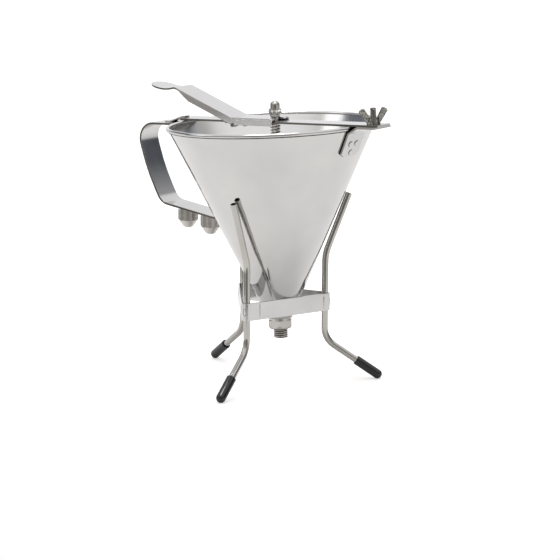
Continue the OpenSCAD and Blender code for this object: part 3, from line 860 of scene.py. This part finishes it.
@dataclass
class FunnelBody(Assembly):
    """Cone and outlet. Sizes in mm, heights from the rim."""

    roll_radius: float = 1.69
    cone_depth: float = 175.0
    wall: float = 0.8
    steps: int = 288
    bore: float = 4.75
    crest: float = 7.0
    core: float = 5.7
    slack: float = 0.3
    hex_radius: float = 9.3
    hex_bottom: float = -185.1
    hex_top: float = -178.6
    thread_end: float = -194.1
    pitch: float = 1.85
    turns: int = 7
    seam_sink: float = 0.1
    # Where the dark line of painted shadow under the rim's roll runs.
    rim_seam_shadow: tuple[float, float] = (-0.15, -2.0)  # out from the rim's radius, and height

    def build(self) -> None:
        """Spins the cone, rolls its rim and cuts the outlet's thread."""
        f = self.finishes
        frame = LAYOUT.funnel()
        axis = frame.to_3x3() @ UP

        def is_inside(face: Face) -> bool:
            """Tells a face of the cone's inner side, up to the roll."""
            arm = face.center - frame.translation
            arm -= axis * arm.dot(axis)
            mouth = (LAYOUT.rim_radius - self.roll_radius * 0.5) * MM
            return face.normal.dot(arm) < 0 and arm.length < mouth

        cone = self.keep(self.spun_cone(), f.cone, "funnel", "satin_steel", "funnel_cone")
        refinish(cone, f.cone_inside, is_inside)
        outlet = self.keep(self.threaded_outlet(), f.turned, "funnel", "dull_steel", "outlet_bush")
        thread_top = (self.hex_bottom - self.seam_sink) * MM
        refinish(outlet, f.thread,
                 lambda face: (face.center - frame.translation).dot(axis) < thread_top)
        out, down = self.rim_seam_shadow
        neck = LAYOUT.cone_at(-self.cone_depth) - self.seam_sink
        # The hexagon's and the rim's lines are painted shadow in their creases; the neck's is a weld
        # bead.
        for name, radius, height, thick, rough, finish in (
            ("hex_seam_shadow", self.hex_radius, self.hex_top + self.seam_sink, 0.22, 0.02, f.painted_shadow),
            ("rim_seam_shadow", LAYOUT.rim_radius + out, down, 0.46, 0.02, f.painted_shadow),
            ("neck_seam", neck, self.seam_sink - self.cone_depth, 0.42, 0.03, f.weld),
        ):
            seam = ring_bead(name, radius, height, thick, rough)
            self.keep(seam, finish, "funnel", "satin_steel")

    def spun_cone(self) -> Piece:
        """Makes the cone's sheet and the roll round its rim.

        Returns:
            The cone, at its place.
        """
        sheet = primitive(
            "cone_sheet", bpy.ops.mesh.primitive_cone_add, vertices=self.steps,
            radius1=LAYOUT.cone_at(-self.cone_depth) * MM, radius2=LAYOUT.rim_radius * MM,
            depth=self.cone_depth * MM, end_fill_type="NOTHING",
            location=(0, 0, -self.cone_depth / 2 * MM))
        edit(sheet)
        bpy.ops.mesh.normals_make_consistent(inside=False)
        bpy.ops.mesh.subdivide(number_cuts=3)
        close_edit()
        apply_modifier(sheet, "SOLIDIFY", thickness=self.wall * MM, offset=-1.0,
                       use_even_offset=True)
        roll = torus("rim_roll", LAYOUT.rim_radius, self.roll_radius, self.steps, 24)
        cone = joined("spun_cone", sheet, roll)
        shade(cone, SHARP)
        return put(cone, LAYOUT.funnel())

    def threaded_outlet(self) -> Piece:
        """Narrows the outlet's plain end to the thread's core and winds the thread's ridge on it.

        Returns:
            The outlet, at its place.
        """
        def is_plain_end(point: Corner) -> bool:
            """Tells a corner on the outside of the end below the hexagon."""
            out = math.hypot(point.co.x, point.co.y) / MM
            low = point.co.z < (self.hex_bottom + 0.05) * MM
            return low and self.bore + self.slack < out < self.crest + self.slack

        bush = merged_copy(self.nodes["outlet_bush"], "outlet_core")
        put(bush, LAYOUT.funnel().inverted())
        edit(bush)
        pick(bush, "VERT", is_plain_end)
        narrow = self.core / self.crest
        bpy.ops.transform.resize(value=(narrow, narrow, 1),
                                 center_override=(0, 0, self.thread_end * MM))
        close_edit()
        crisp_edges(bush, 0.15, 25.0)
        ends = (self.thread_end + self.slack, self.hex_bottom - 0.02)
        winding = ridge("outlet_ridge", self.core, self.crest, self.pitch, self.turns,
                        self.thread_end - self.pitch, ends, 64)
        return put(joined("threaded_outlet", bush, winding), LAYOUT.funnel())


@dataclass
class CarryHandle(Assembly):
    """Bent strip handle with its catch and its weld beads. Sizes in mm."""

    bead: float = 0.75
    beads: tuple[tuple[str, float, float, float], ...] = (
        ("weld_low_under", 53.0, -88.6, 13.0),
        ("weld_low_top", 53.9, -86.2, 13.0),
        ("weld_rim_under", 94.2, -3.2, 7.2),
    )  # name, radius, height and half of the sweep in degrees

    def build(self) -> None:
        """Rounds the strips' edges and lays the weld beads."""
        f = self.finishes
        # The strap's cut edges get painted shade.
        shade_cut_edges(self.round_off("handle_strap", "funnel", "satin_steel", 0.3, f.strip), f.edge)
        self.round_off("bridge_catch", "funnel", "bright_steel", 0.3, f.strip)
        self.dress(f.turned, "nozzle_post_outer", "nozzle_post_inner")
        for name, radius, height, half in self.beads:
            bead = ring_bead(name, radius, height, self.bead, half_angle=half, middle=180.0)
            self.keep(bead, f.weld, "funnel", "satin_steel")


@dataclass
class Bridge(Assembly):
    """Bar across the mouth, its hinge and the thumb lever. Sizes in mm."""

    pad_start: float = -98.0
    pad_flat: float = 0.85  # how far a face of the pad's top or underside faces up or down
    tail_height: float = 1.8
    tails: tuple[tuple[float, float, float], ...] = ((-41.0, 3.3, -1.5), (-30.2, 2.6, -1.2))

    def build(self) -> None:
        """Rounds the bar's and the lever's edges and dresses the hinge."""
        f = self.finishes
        place = LAYOUT.funnel()
        back = place.inverted()
        start = self.pad_start * MM
        # The bar's cut edges get painted shade.
        shade_cut_edges(self.round_off("bridge_bar", "funnel", "bright_steel", 0.25, f.strip), f.edge)
        lever = self.round_off("thumb_lever", "lever", "satin_steel", 0.3, f.lever, fold=1.1)
        edit(lever)
        bpy.ops.mesh.bisect(plane_co=place @ Vector((start, 0, 0)),
                            plane_no=place.to_3x3() @ Vector((1, 0, 0)))
        close_edit()
        # The lever pad's edge faces get the cut-edge finish, whose dark colour is painted shade.
        refinish(lever, f.edge, lambda face: (back @ face.center).x < start
                 and abs(face.normal.z) < self.pad_flat)
        # The hinge saddle and the pin under the bar get the same dark finish: painted shade.
        self.dress(f.edge, "hinge_saddle", "lever_pin")
        self.dress(f.nut, "saddle_rivets")
        for number, (x, radius, middle) in enumerate(self.tails):
            tail = ball(f"rivet_tail_{number}", 32)
            reshape(tail, (radius, radius, self.tail_height))
            self.keep(put(tail, place @ shift(x, 0, middle)), f.nut, "funnel", "dull_steel")


@dataclass
class Valve(Assembly):
    """Rod, plug, spring and cap nut. Sizes in mm."""

    spring_radius: float = 4.05
    wire_radius: float = 0.55
    spring_low: float = -35.4
    spring_length: float = 37.0
    spring_turns: int = 14
    valve_stroke: float = 11.2

    def build(self) -> None:
        """Winds the spring and dresses the rod's pieces."""
        f = self.finishes
        self.dress(f.rod, "valve_rod")
        self.dress(f.turned, "valve_plug", "spring_collar", "lift_washer")
        self.round_off("cap_nut", "cap_nut", "dull_steel", 0.3, f.nut, 25.0)
        frame = LAYOUT.rod()
        wire = self.wire_radius
        pitch = (self.spring_length - 2 * wire) / self.spring_turns
        spring = helix("spring_wire", self.spring_radius, (wire, wire), pitch, self.spring_turns,
                       self.spring_low + wire, corners=12, steps=36)
        self.keep(put(spring, frame), f.wire, "funnel", "spring_steel", "return_spring")
        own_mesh(spring)


@dataclass
class ClampEnd(Assembly):
    """Bracket, stud and wing nut at the bar's right end. Sizes in mm."""

    stud_x: float = 111.0
    stud_radius: float = 3.0
    stud_core: float = 2.45
    stud_low: float = -0.02
    stud_high: float = 17.78
    stud_round: float = 0.5
    pitch: float = 1.0
    plate: float = 1.85
    head_radius: float = 2.25
    head_height: float = 0.8
    head_middle: float = 0.25
    # Size of the dark ring of painted shadow round a rivet head.
    seam_shadow_radius: float = 2.34
    seam_shadow_thick: float = 0.3
    rivets: tuple[tuple[float, float], ...] = ((-13.4, -4.4), (-13.4, 4.4), (-21.2, 0.0))

    def build(self) -> None:
        """Rounds the bracket and the nut, and cuts the stud's thread."""
        f = self.finishes
        self.round_off("clamp_bracket", "funnel", "satin_steel", 0.3, f.strip)
        self.dress(f.strip, "bracket_rivets")
        self.round_off("wing_nut", "wing_nut", "dull_steel", 0.3, f.cast, 25.0)
        self.keep(self.threaded_stud(), f.stud, "funnel", "dull_steel", "clamp_stud")
        for number, (height, across) in enumerate(self.rivets):
            self.rivet_head(number, height, across)

    def rivet_head(self, number: int, height: float, across: float) -> None:
        """Adds a bracket rivet's pressed head and a dark ring round it, which is painted shadow in
        the crease at the head's edge.
        """
        place = LAYOUT.funnel() @ shift(LAYOUT.cone_at(height), across, height)
        place = place @ Matrix.Rotation(math.radians(90 + LAYOUT.cone_angle), 4, "Y")
        place = place @ shift(z=self.plate)
        head = cylinder(f"rivet_head_{number}", 40, self.head_radius, self.head_height,
                        self.head_middle)
        crisp_edges(head, 0.3, 50.0, 3)
        self.keep(put(head, place), self.finishes.strip, "funnel", "satin_steel")
        # A dark ring of painted shadow round the head.
        seam = torus(f"rivet_seam_shadow_{number}", self.seam_shadow_radius, self.seam_shadow_thick, 40, 8)
        shade(seam, ROUND)
        self.keep(put(seam, place), self.finishes.painted_shadow, "funnel", "satin_steel")

    def threaded_stud(self) -> Piece:
        """Makes the stud: a core with a rounded end, and the thread's ridge.

        Returns:
            The stud, at its place.
        """
        length = self.stud_high - self.stud_low
        core = cylinder("stud_core", 48, self.stud_core, length, self.stud_low + length / 2)
        apply_modifier(core, "BEVEL", width=self.stud_round * MM, segments=3,
                       limit_method="ANGLE", angle_limit=math.radians(60))
        shade(core, SHARP)
        ends = (self.stud_low + 0.02, self.stud_high - self.stud_round)
        winding = ridge("stud_ridge", self.stud_core, self.stud_radius, self.pitch,
                        math.ceil(length / self.pitch), self.stud_low - 0.5, ends, 32)
        return put(joined("threaded_stud", core, winding), LAYOUT.funnel() @ shift(self.stud_x))


@dataclass
class SpareNozzles(Assembly):
    """The two nozzles that hang under the handle. Sizes in mm."""

    radius: float = 9.1
    grip: float = 10.0
    grip_edge: float = 1.1
    ridge_out: float = 0.2
    groove_in: float = 0.15
    ridges: int = 52
    places: tuple[tuple[str, float, float], ...] = (
        ("wide", -85.284, 146.8),
        ("narrow", -58.991, 143.5),
    )  # kind, place along the handle and height of the upper face

    def build(self) -> None:
        """Rounds the nozzles' edges and knurls their grips."""
        f = self.finishes
        for kind, x, top in self.places:
            body = f"{kind}_nozzle"
            self.round_off(f"spare_nozzle_{kind}", body, "dull_steel", 0.25, f.nozzle, 20.0)
            knurl = put(self.knurl(kind), shift(x, LAYOUT.rim_centre[1], top - self.grip / 2))
            self.keep(knurl, f.nozzle, body, "dull_steel")

    def knurl(self, kind: str) -> Piece:
        """Makes a ring of upright ridges for a nozzle's grip.

        Args:
            kind: which nozzle.

        Returns:
            The ring, about the origin.
        """
        def is_groove(point: Corner) -> bool:
            """Tells every second corner round the ring."""
            turn = math.atan2(point.co.y, point.co.x) / math.tau * 2 * self.ridges
            return round(turn) % 2 == 0

        crest = self.radius + self.ridge_out
        ring = cylinder(f"knurl_{kind}", 2 * self.ridges, crest, self.grip - self.grip_edge)
        edit(ring)
        pick(ring, "VERT", is_groove)
        inner = (self.radius - self.groove_in) / crest
        bpy.ops.transform.resize(value=(inner, inner, 1), center_override=(0, 0, 0))
        close_edit()
        shade(ring, 20.0)
        return ring


# ---------- studio ----------


@dataclass(frozen=True)
class Softbox:
    """A rectangular lamp, aimed at the object's middle. Sizes in metres."""

    name: str
    place: Vec
    size: tuple[float, float]
    power: float
    aim: Vec = (0.0, 0.0, 0.12)

    def build(self) -> None:
        """Hangs the lamp."""
        data = bpy.data.lights.new(self.name, "AREA")
        data.shape = "RECTANGLE"
        data.size, data.size_y = self.size
        data.energy = self.power
        lamp = bpy.data.objects.new(self.name, data)
        bpy.context.scene.collection.objects.link(lamp)
        lamp.location = self.place
        away = Vector(self.place) - Vector(self.aim)
        lamp.rotation_euler = away.to_track_quat("Z", "Y").to_euler()


@dataclass(frozen=True)
class Panel:
    """A patch of the surroundings that only shows in the metal. Angles in degrees.

    Azimuth 90 lies straight ahead of the camera, and 0 to its right. A half width of 180 goes
    all the way round.
    """

    azimuth: float
    half_width: float
    low: float
    high: float
    colour: Rgb
    soft: float = 6.0


@dataclass
class Studio:
    """Camera, floor, lamps and surroundings."""

    eye: Vec = (1.34468, -1.76385, 0.5526)
    heading: float = 36.8365
    tilt: float = 11.7543
    roll: float = 0.3135
    focal_px: float = 2497.08
    frame_px: float = 560.0
    paper: Rgb = (0.875, 0.865, 0.85)
    glow: float = 0.44
    sheets: tuple[tuple[str, float, float, float, float], ...] = (
        ("table", 0.8, -0.34, 0.75, 0.0),
        ("sweep", 9.0, 0.6, 6.0, -0.4),
    )  # name, width, near and far edge in metres, and height in mm
    lamps: tuple[Softbox, ...] = (
        Softbox("softbox_top", (-0.1, 0.0, 1.6), (0.6, 0.6), 10.0),
        Softbox("softbox_left", (-1.3, -1.0, 0.9), (0.7, 1.1), 3.0),
    )
    dim: Rgb = (0.50, 0.48, 0.45)
    panels: tuple[Panel, ...] = (
        Panel(0.0, 60.0, -95.0, 0.0, (0.86, 0.85, 0.83), 9.0),
        Panel(90.0, 74.0, -95.0, 70.0, (0.97, 0.97, 0.98), 12.0),
        Panel(0.0, 180.0, 36.0, 95.0, (1.0, 1.0, 1.01), 5.0),
        Panel(0.0, 180.0, -95.0, -20.0, (0.93, 0.925, 0.92), 4.0),
        Panel(180.0, 16.0, -18.0, 8.0, (0.28, 0.275, 0.26), 6.0),
        Panel(156.0, 40.0, 4.0, 33.0, (0.145, 0.155, 0.185), 10.0),
        Panel(18.0, 27.0, -2.0, 28.0, (0.082, 0.092, 0.112), 10.0),
        Panel(-90.0, 26.0, -18.0, 22.0, (0.24, 0.235, 0.225), 6.0),
    )

    def build(self) -> None:
        """Sets up the whole studio."""
        self.camera()
        self.floor()
        self.surroundings()
        for lamp in self.lamps:
            lamp.build()
        bpy.context.scene.view_settings.view_transform = "Standard"

    def camera(self) -> None:
        """Stands the camera where the object is seen from."""
        data = bpy.data.cameras.new("camera")
        data.sensor_fit = "HORIZONTAL"
        data.sensor_width = 36.0
        data.lens = self.focal_px / self.frame_px * data.sensor_width
        camera = bpy.data.objects.new("camera", data)
        bpy.context.scene.collection.objects.link(camera)
        place = Matrix.Translation(self.eye)
        for angle, axis in ((self.heading, "Z"), (90 - self.tilt, "X"), (self.roll, "Z")):
            place = place @ Matrix.Rotation(math.radians(angle), 4, axis)
        camera.matrix_world = place
        bpy.context.scene.camera = camera

    def floor(self) -> None:
        """Lays the table and the sweep behind it, which show as white and keep the shadow."""
        n = Nodes("floor_paper")
        seen = n.add("LightPath").outputs["Is Camera Ray"]
        n.feed(n.shader, {"Base Color": (*self.paper, 1.0), "Roughness": 0.9,
                          "Emission Color": (1.0, 1.0, 1.0, 1.0),
                          "Emission Strength": n.math("MULTIPLY", seen, self.glow)})
        turn = Matrix.Rotation(math.radians(self.heading), 4, "Z")
        for name, width, near, far, level in self.sheets:
            sheet = primitive(name, bpy.ops.mesh.primitive_plane_add, size=1.0)
            place = Matrix.Translation((0, (near + far) / 2, level * MM))
            put(sheet, turn @ place @ Matrix.Diagonal((width, far - near, 1, 1)))
            clear_finish(sheet, n.material)

    def surroundings(self) -> None:
        """A white room to the camera, and to the metal a bright one with dark screens."""
        world = bpy.data.worlds.new("room")
        bpy.context.scene.world = world
        n = Nodes("room", world)
        coords = n.add("TexCoord").outputs["Generated"]
        ahead = n.add("VectorRotate", {"Vector": coords, "Angle": math.radians(-self.heading)},
                      rotation_type="Z_AXIS").outputs[0]
        height = n.add("SeparateXYZ", {"Vector": ahead}).outputs["Z"]
        level = n.add("VectorMath", {0: n.level(ahead)}, operation="NORMALIZE").outputs[0]
        colour: object = (*self.dim, 1.0)
        for panel in self.panels:
            colour = self.hang(n, panel, level, height, colour)
        room = n.add("Background", {"Color": colour})
        white = n.add("Background", {"Color": (1, 1, 1, 1)})
        seen = n.add("LightPath").outputs["Is Camera Ray"]
        both = n.add("MixShader", {"Fac": seen, 1: room.outputs[0], 2: white.outputs[0]})
        n.add("OutputWorld", {"Surface": both.outputs[0]})

    def hang(self, n: Nodes, panel: Panel, level: Socket,
             height: Socket, under: object) -> Socket:
        """Lays a panel over the surroundings.

        Args:
            n: the world's nodes.
            panel: the panel.
            level: the level direction looked in.
            height: the sine of the elevation looked at.
            under: the colour so far.

        Returns:
            The colour with the panel in place.
        """
        def edge(value: Socket, outer: float, inner: float) -> Socket:
            """Rises from 0 to 1 between two values."""
            return n.add("MapRange", {"Value": value, "From Min": outer, "From Max": inner},
                         interpolation_type="SMOOTHSTEP").outputs["Result"]

        def sine(angle: float) -> float:
            """The sine of an elevation, which runs on straight past the zenith."""
            return math.sin(math.radians(angle)) if abs(angle) <= 90 else math.copysign(2.0, angle)

        soft = panel.soft
        mask = n.math("MULTIPLY", edge(height, sine(panel.low - soft), sine(panel.low + soft)),
                      edge(height, sine(panel.high + soft), sine(panel.high - soft)))
        if panel.half_width < 180:
            turn = math.radians(panel.azimuth)
            facing = n.add("VectorMath", {0: level, 1: (math.cos(turn), math.sin(turn), 0)},
                           operation="DOT_PRODUCT").outputs["Value"]
            outer, inner = (math.cos(math.radians(panel.half_width + v)) for v in (soft, -soft))
            mask = n.math("MULTIPLY", edge(facing, outer, inner), mask)
        mix = n.add("Mix", {"Factor": mask, 6: under, 7: (*panel.colour, 1.0)}, data_type="RGBA")
        return mix.outputs[2]


def main() -> None:
    """Loads the frame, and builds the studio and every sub-assembly."""
    logging.basicConfig(level=logging.INFO, format="%(message)s")
    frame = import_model()
    Studio().build()
    finishes = Finishes()
    nodes = frame["nodes"]
    for kind in (TubeStand, FunnelBody, CarryHandle, Bridge, Valve, ClampEnd, SpareNozzles):
        kind(nodes, finishes).build()
        LOG.info("built %s", kind.__name__)
    bpy.ops.object.select_all(action="DESELECT")


if __name__ == "__main__":
    main()
